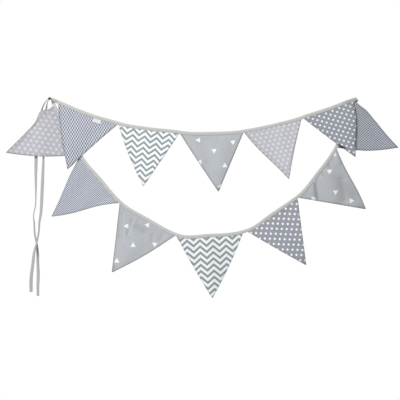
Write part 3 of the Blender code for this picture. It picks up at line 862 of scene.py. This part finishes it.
@shared_group("Printed Zigzag", ("Mask",), vector=None, rise=0.9, stripe=0.45, blur=0.03)
def printed_zigzag(nodes, vector, rise, stripe, blur):
    """Group: rows of zigzag stripes, one across and one down in each repeat of the print.

    Each row is moved up and down by a triangle wave, half the rise each way.
    """
    across, down = nodes.parts(vector)
    tooth = abs(nodes.math("FRACT", across + 0.5) - 0.5) * 4.0 - 1.0
    row = down - rise * 0.5 * tooth
    off = abs(nodes.math("FRACT", row + 0.5) - 0.5)
    half = stripe * 0.5
    return (nodes.spread(off, half + blur, half - blur),)


@shared_group("Woven Check", ("Mask",), vector=None)
def woven_check(nodes, vector):
    """Group: gingham, whose two sets of dyed threads give 0, one half and 1 over each repeat."""
    across, down = (
        nodes.spread(abs(part - 0.5), 0.28, 0.22) for part in nodes.parts(nodes.vector("FRACTION", vector))
    )
    return ((across + down) * 0.5,)


@shared_group("Printed Triangle", ("Mask",), vector=None, centre=None, turn=0.0, size=0.0045)
def printed_triangle(nodes, vector, centre, turn, size):
    """Group: one small triangle at a centre in metres, its inner radius the size, turned by an angle."""
    inputs = {"Vector": nodes.vector("SUBTRACT", vector, centre), "Angle": turn * -1.0}
    turned = nodes.add("ShaderNodeVectorRotate", inputs, rotation_type="Z_AXIS")
    directions = ((0, -1, 0), (0.866, 0.5, 0), (-0.866, 0.5, 0))
    out = nodes.greatest([nodes.vector("DOT_PRODUCT", turned, way) for way in directions]) - size
    return (nodes.spread(out, 0.0004, -0.0004),)


def new_material(name, roughness):
    material = bpy.data.materials.new(name)
    material.use_nodes = True
    shader = material.node_tree.nodes["Principled BSDF"]
    shader.inputs["Roughness"].default_value = roughness
    shader.inputs["Specular IOR Level"].default_value = 0.2
    return material, Nodes(material.node_tree), shader


def finish_cloth(nodes, shader, colour, cloth, threads=1600.0, seam_shades=None, creases=0.05):
    """Adds weave, creases and seam allowances to a cloth's colour, with painted shade, and their relief to
    its normal.
    """
    weave_height, weave_tone = nodes.group(plain_weave(), vector=cloth, threads=threads, unevenness=0.04)
    crease_height, painted_crease_shade = nodes.group(soft_creases(), vector=cloth, scale=26.0, depth=creases)
    # The tone kept on the mesh: painted light and shade
    painted_light_and_shade = nodes.add("ShaderNodeAttribute", output="Fac", attribute_name="tone")
    tone = weave_tone * painted_crease_shade * painted_light_and_shade
    if seam_shades:
        edges = nodes.map("edges")
        (seam,) = nodes.group(painted_seam_shade(), vector=edges, width=0.008, band=seam_shades.band, edge=seam_shades.edge)
        tone = tone * seam
    nodes.feed(shader.inputs["Base Color"], nodes.tint(colour, tone))
    broad = nodes.bump(crease_height, 0.5, 0.0016)
    nodes.feed(shader.inputs["Normal"], nodes.bump(weave_height, 0.35, 0.0002, Normal=broad))
    shader.inputs["Sheen Weight"].default_value = 0.08
    shader.inputs["Sheen Roughness"].default_value = 0.5


# Each cotton's print, its values, and the two colours that it mixes
PRINT_LOOKS = {
    "check": (woven_check, {}, "check_pale", "check_dyed"),
    "chevron": (
        printed_zigzag, {"rise": 0.92, "stripe": 0.47, "blur": 0.02}, "chevron_ground", "chevron_stripe"
    ),
    "dots": (printed_dots, {"lean": -0.18, "radius": 0.215, "blur": 0.05}, "dots_ground", "white"),
    "pale": (printed_dots, {"lean": 0.43, "radius": 0.24, "blur": 0.1}, "pale_ground", "pale_dot"),
    "triangles": (printed_triangle, {"size": 0.0045}, "triangles_ground", "white"),
}


def cotton(cloth, flag, colours):
    """The material of one printed cotton. The triangles' places are each flag's own."""
    triangles = cloth == "triangles"
    name = f"{cloth} cotton flag_{flag}" if triangles else f"{cloth} cotton"
    found = bpy.data.materials.get(name)
    if found:
        return found
    material, nodes, shader = new_material(name, 0.9)
    place = nodes.map("print")
    printed, values, ground, figure = PRINT_LOOKS[cloth]
    spots = [{}]
    if triangles:
        spots = [
            {"centre": (across * MM, -drop * MM, 0), "turn": float(np.radians(turn))}
            for across, drop, turn in TRIANGLES[flag]
        ]
    mask = nodes.greatest([nodes.group(printed(), vector=place, **values, **spot)[0] for spot in spots])
    colour = nodes.mix(mask, getattr(colours, ground), getattr(colours, figure))
    # Depth of the painted shade in the creases, deeper on the triangles
    creases = 0.09 if triangles else 0.05
    finish_cloth(nodes, shader, colour, nodes.map("cloth"), seam_shades=SEAM_SHADES[cloth], creases=creases)
    return material


def tape_cotton(colours):
    """Plain bias binding: the weave lies at 45 degrees to the tape."""
    material, nodes, shader = new_material("bias tape cotton", 0.88)
    inputs = {"Vector": nodes.map("cloth"), "Rotation": (0, 0, np.radians(45))}
    finish_cloth(nodes, shader, colours.tape, nodes.add("ShaderNodeMapping", inputs), creases=0.04)
    return material


def plain_thread(colours):
    material, nodes, shader = new_material("sewing thread", 0.7)
    tone = nodes.noise(nodes.place(), 900.0) * 0.2 + 0.9
    nodes.feed(shader.inputs["Base Color"], nodes.tint(colours.thread, tone))
    return material


def woven_ribbon(colours):
    """The bare label: fine ribs along its length."""
    material, nodes, shader = new_material("woven label ribbon", 0.65)
    finish_cloth(nodes, shader, colours.label, nodes.map("cloth"), threads=3000.0, creases=0.03)
    return material


def nail_steel(colours):
    """Dark wire-drawn steel: fine rings round the shank and small brighter rubs."""
    material, nodes, shader = new_material("nail steel", 0.42)
    shader.inputs["Metallic"].default_value = 0.85
    place = nodes.place()
    noise = nodes.noise(place, 700.0, detail=4.0)
    rub = nodes.spread(noise, 0.55, 0.75)
    nodes.feed(shader.inputs["Base Color"], nodes.mix(rub, colours.steel, linear(120, 116, 122)))
    nodes.feed(shader.inputs["Roughness"], nodes.spread(noise, 0.3, 0.8, 0.5, 0.3))
    rings = {"Vector": place, "Scale": 500.0}
    drawn = nodes.add("ShaderNodeTexWave", rings, "Fac", bands_direction="Y")
    nodes.feed(shader.inputs["Normal"], nodes.bump(drawn, 0.15, 0.0001))
    return material


def colour_property(name, description, srgb):
    return FloatVectorProperty(
        name=name, description=description, subtype="COLOR", size=3, min=0, max=1, default=linear(*srgb)
    )


def length_property(name, description, default):
    return FloatProperty(
        name=name, description=description, unit="LENGTH", min=0.00005, default=default, precision=5
    )


def share_property(name, description, default):
    return FloatProperty(name=name, description=description, min=0, max=1, default=default)


class BuntingColours(bpy.types.PropertyGroup):
    check_pale: colour_property("Check pale", "Pale squares of the check", (226, 230, 240))
    check_dyed: colour_property("Check dyed", "Dyed squares of the check", (98, 102, 116))
    chevron_ground: colour_property("Chevron ground", "Ground of the zigzag print", (247, 252, 253))
    chevron_stripe: colour_property("Chevron stripe", "Stripes of the zigzag print", (150, 157, 161))
    triangles_ground: colour_property("Triangles ground", "Ground of the triangle print", (184, 188, 192))
    pale_ground: colour_property("Pale ground", "Ground of the pale spotted print", (192, 192, 199))
    pale_dot: colour_property("Pale dot", "Spots of the pale print", (222, 223, 228))
    dots_ground: colour_property("Dots ground", "Ground of the dotted print", (153, 156, 165))
    white: colour_property("White", "White of the dots and triangles", (246, 250, 252))
    tape: colour_property("Tape", "Bias tape and its ties", (190, 192, 189))
    thread: colour_property("Thread", "Sewing thread", (190, 192, 188))
    label: colour_property("Label", "Bare woven label", (226, 227, 232))
    steel: colour_property("Steel", "Dark steel of the nails", (84, 78, 86))


class BuntingTape(bpy.types.PropertyGroup):
    width: length_property("Width", "Width of the folded tape", 0.010)
    thickness: length_property("Thickness", "Thickness of the tape over the flags", 0.0028)
    # Painted highlight: the folded edge lighter and the open edge darker
    edge_highlight: share_property("Edge tone", "How much lighter the folded edge is", 0.14)
    # Painted shade: how much darker the tape is where it is sewn shut as a tie
    tie_shade: share_property("Tie tone", "How dark the tightly sewn ties are", 0.78)
    tie_thickness: length_property("Tie thickness", "Thickness of the tape where it is a tie", 0.0015)
    stitch_length: length_property("Stitch length", "Length of one stitch", 0.0026)
    stitch_gap: length_property("Stitch gap", "Gap between two stitches", 0.0007)
    thread_radius: length_property("Thread radius", "Half the thickness of the sewing thread", 0.0002)
    stitch_inset: length_property("Stitch inset", "From the tape's open edge to its stitches", 0.0017)


class BuntingCotton(bpy.types.PropertyGroup):
    thickness: length_property("Thickness", "Thickness of a flag's two layers", 0.0007)
    seam_thickness: length_property("Seam thickness", "Thickness over the seam allowances", 0.0011)
    seam_width: length_property("Seam width", "Width of the seam allowances inside the sides", 0.008)
    columns: IntProperty(name="Columns", description="Faces across a flag", default=52, min=8)
    rows: IntProperty(name="Rows", description="Faces down a flag", default=60, min=8)
    label_length: length_property("Label length", "Length of the label along the tape", 0.025)
    label_drop: length_property("Label drop", "Height of the label below the tape", 0.012)


class BuntingStudio(bpy.types.PropertyGroup):
    focal_length: FloatProperty(name="Focal length", description="Camera lens", unit="CAMERA", default=200)
    frame_width: length_property("Frame width", "Width of the view at the bunting", 1.2)
    centre: FloatVectorProperty(
        name="Centre",
        description="Middle of the view",
        subtype="TRANSLATION",
        size=3,
        default=(0.4506, -0.0125, -0.3039),
    )
    floor_drop: length_property("Floor drop", "Floor below the nails", 1.05)
    ambient: FloatProperty(name="Ambient", description="Strength of the soft light all round", default=0.44)
    key_power: FloatProperty(
        name="Key", description="Power of the large soft light", unit="POWER", default=164
    )


def settle(piece, node):
    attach(piece, "root")
    if node:
        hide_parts(node)


class MakeTape(bpy.types.Operator):
    """Make the folded tape with its two ties, and the stitches along it"""

    bl_idname = "bunting.make_tape"
    bl_label = "Tape"

    def execute(self, context):
        tape, colours = context.scene.bunting_tape, context.scene.bunting_colours
        upper, lower, turn = hanging()
        front = tie_strip(FRONT_TIE, upper, (1, 0), -upper.side, tape, 0.0)
        # The first tie is worked out towards its free end, so it is then turned end for end, and the
        # direction out of its face with it.
        front = Strip(*(values[::-1] for values in front))
        mirrored = -np.arange(front.rings.shape[1])
        front = front._replace(rings=front.rings[:, mirrored], facing=-front.facing)
        before_turn = upper.along[-1]
        strips = (
            front,
            swag_strip(upper, tape, 0.0),
            turn_strip(turn, upper.headings[-1], tape, before_turn),
            Strip(*(values[1:] for values in swag_strip(lower, tape, before_turn + TURN_LENGTH))),
            tie_strip(REAR_TIE, lower, (-2, -1), lower.side, tape, before_turn + lower.along[-1]),
        )
        whole = Strip(*(np.concatenate(values) for values in zip(*strips)))
        along = distance_along(whole.centres)
        width = tape_section(whole.openness, along, tape)[0]
        cloth = np.stack((np.broadcast_to(along[:, None], width.shape), width), axis=-1) * MM
        # Painted light and shade: lighter towards the tape's folded edge and darker towards its open edge
        painted_edge_light = tape.edge_highlight * width / (tape.width / MM)
        # Painted shade on the ties, times the painted light and shade across the tape
        tone = (tape.tie_shade + (1 - tape.tie_shade) * whole.openness)[:, None] * (TAPE_TONE - painted_edge_light)
        tone = with_painted_shade("tape", tone, whole.rings[..., (0, 2)])
        made = ring_mesh("bunting_tape", whole.rings, {"cloth": cloth}, tape_cotton(colours), tone)
        settle(made, "tape")
        self.sew(tape, colours, whole, along)
        return {"FINISHED"}

    def sew(self, tape, colours, whole, along):
        """Stitches on both faces, at even steps along the tape and just inside its open edge."""
        step = (tape.stitch_length + tape.stitch_gap) / MM
        at = np.arange(step, along[-1] - STITCH_STOP, step)

        def between(values):
            return np.stack([np.interp(at, along, values[:, k]) for k in range(3)], axis=-1)

        centres, facing = between(whole.centres), unit(between(whole.facing))
        openness = np.interp(at, along, whole.openness)
        line = centres + (tape.width / 2 - tape.stitch_inset) / MM * unit(between(whole.across))
        heading = unit(np.gradient(line, axis=0))
        facing = unit(facing - np.sum(facing * heading, axis=1, keepdims=True) * heading)
        off = half_thickness(tape, openness)[:, None] * STITCH_OUT * facing
        size = (tape.stitch_length / MM, tape.thread_radius / MM)
        made = stitch_mesh(
            "tape_stitches",
            np.concatenate((line + off, line - off)),
            np.tile(heading, (2, 1)),
            np.concatenate((facing, -facing)),
            size,
            plain_thread(colours),
        )
        settle(made, None)


class MakeFlags(bpy.types.Operator):
    """Make the twelve turned cotton flags"""

    bl_idname = "bunting.make_flags"
    bl_label = "Flags"

    def execute(self, context):
        sizes, colours = context.scene.bunting_cotton, context.scene.bunting_colours
        upper, lower, _ = hanging()
        for swag, rows in ((upper, UPPER_FLAGS), (lower, LOWER_FLAGS)):
            for row in rows:
                cloth = row.name.split("_")[0]
                rings, maps, tone = flag_rings(row, swag, sizes)
                material = cotton(cloth, row.name, colours)
                made = ring_mesh(f"cotton_flag_{row.name}", rings, maps, material, tone, thin=True)
                settle(made, f"flag_{row.name}")
                first, last = swag.spans[row.name]
                top, tip = (last - first) * MM, plan(row.tip_across, row.tip_drop) * MM
                middle = swag.at(np.array((first + last) / 2), np.array(0.0)) * MM
                drop = float(np.linalg.norm(tip - middle))
                round(top * drop / 2, 4)
        return {"FINISHED"}


class MakeLabel(bpy.types.Operator):
    """Make the bare label under the tape on the first flag"""

    bl_idname = "bunting.make_label"
    bl_label = "Label"

    def execute(self, context):
        sizes, colours = context.scene.bunting_cotton, context.scene.bunting_colours
        upper, _, _ = hanging()
        row = UPPER_FLAGS[0]
        first, last = upper.spans[row.name]
        length, drop = sizes.label_length / MM, sizes.label_drop / MM
        columns, rows = LABEL_GRID
        along = LABEL_ALONG + length * np.linspace(-0.5, 0.5, columns)
        along, below = np.meshgrid(along, LABEL_TOP + drop * np.linspace(0, 1, rows))
        wall = upper.at(first + along, below)
        to_tip = np.linalg.norm(wall - plan(row.tip_across, row.tip_drop), axis=-1)
        fall = (below - LABEL_HANGS_FROM) / to_tip
        depth = flag_depth(row, along / (last - first), fall, wall, below - SLOT_MOUTH)
        ripple = 1 + RIPPLE_SHARE * np.sin(along / RIPPLE_LENGTH)
        lift = LIFT_HEIGHT * smoothstep((below - LIFT_FROM) / LIFT_WITHIN) * ripple
        depth = upper.depth + depth + LABEL_STANDS_OFF + lift
        middle = np.stack((wall[..., 0], -depth, wall[..., 1]), axis=-1)
        half = np.full(middle.shape[:2], LABEL_HALF)
        half[:, (0, -1)] = 0.0
        cloth = np.stack((along, -below), axis=-1) * MM
        maps = {"cloth": round_trip(cloth, cloth)}
        made = ring_mesh("sewn_label", two_faces(middle, half), maps, woven_ribbon(colours), thin=True)
        settle(made, "label")
        return {"FINISHED"}


class FinishNails(bpy.types.Operator):
    """Give the two wall nails their dark steel"""

    bl_idname = "bunting.finish_nails"
    bl_label = "Nails"

    def execute(self, context):
        steel = nail_steel(context.scene.bunting_colours)
        for name in ("nail_left", "nail_right"):
            nail = bpy.data.objects[name]
            nail.data.materials.clear()
            nail.data.materials.append(steel)
        return {"FINISHED"}


class MakeStudio(bpy.types.Operator):
    """Make the pale floor, the soft light and the camera"""

    bl_idname = "bunting.make_studio"
    bl_label = "Studio"

    def execute(self, context):
        studio = context.scene.bunting_studio
        x, y, z = studio.centre
        camera = bpy.data.cameras.new("camera")
        camera.lens = studio.focal_length
        distance = studio.focal_length / camera.sensor_width * studio.frame_width
        viewer = bpy.data.objects.new("camera", camera)
        viewer.location = (x, y - distance, z)
        viewer.rotation_euler = (np.pi / 2, 0, 0)
        context.scene.collection.objects.link(viewer)
        context.scene.camera = viewer

        floor = bpy.data.meshes.new("studio_floor")
        left, right, low = x - FLOOR_HALF, x + FLOOR_HALF, -studio.floor_drop
        near, far = -FLOOR_HALF, FLOOR_HALF
        corners = [(left, near, low), (right, near, low), (right, far, low), (left, far, low)]
        floor.from_pydata(corners, [], [(0, 1, 2, 3)])
        paint, _, shader = new_material("pale floor", 0.8)
        shader.inputs["Base Color"].default_value = (FLOOR_GREY, FLOOR_GREY, FLOOR_GREY, 1)
        floor.materials.append(paint)
        add_piece("studio_floor", floor)

        key = bpy.data.lights.new("key", "AREA")
        key.shape, key.size, key.energy = "DISK", KEY_SIZE, studio.key_power
        lamp = bpy.data.objects.new("key", key)
        lamp.location = (x + KEY_ACROSS, KEY_OUT, z + KEY_UP)
        aim = np.array((x, y, z)) - np.array(lamp.location)
        lamp.rotation_euler = (np.arccos(-unit(aim)[2]), 0, np.arctan2(aim[1], aim[0]) - np.pi / 2)
        context.scene.collection.objects.link(lamp)

        world = bpy.data.worlds.new("studio")
        world.use_nodes = True
        nodes = Nodes(world.node_tree)
        light = world.node_tree.nodes["Background"]
        light.inputs["Color"].default_value = (1, 1, 1, 1)
        seen = nodes.add("ShaderNodeLightPath", output="Is Camera Ray")
        nodes.feed(light.inputs["Strength"], nodes.spread(seen, 0.0, 1.0, studio.ambient, 1.0))
        context.scene.world = world
        context.scene.view_settings.view_transform = "Standard"
        return {"FINISHED"}


class BuntingPanel(bpy.types.Panel):
    """The bunting's operators, in the order in which they are made"""

    bl_idname = "VIEW3D_PT_bunting"
    bl_label = "Bunting"
    bl_space_type = "VIEW_3D"
    bl_region_type = "UI"
    bl_category = "Bunting"

    def draw(self, context):
        for operator in OPERATORS:
            self.layout.operator(operator.bl_idname)


OPERATORS = (MakeTape, MakeFlags, MakeLabel, FinishNails, MakeStudio)
GROUPS = {
    "bunting_colours": BuntingColours,
    "bunting_tape": BuntingTape,
    "bunting_cotton": BuntingCotton,
    "bunting_studio": BuntingStudio,
}


def register():
    for made in (*GROUPS.values(), *OPERATORS, BuntingPanel):
        bpy.utils.register_class(made)
    for name, group in GROUPS.items():
        setattr(bpy.types.Scene, name, PointerProperty(type=group))


def unregister():
    for name in GROUPS:
        delattr(bpy.types.Scene, name)
    for made in reversed((*GROUPS.values(), *OPERATORS, BuntingPanel)):
        bpy.utils.unregister_class(made)


def main():
    register()
    bpy.ops.bunting.make_tape()
    bpy.ops.bunting.make_flags()
    bpy.ops.bunting.make_label()
    bpy.ops.bunting.finish_nails()
    bpy.ops.bunting.make_studio()


if __name__ == "__main__":
    main()
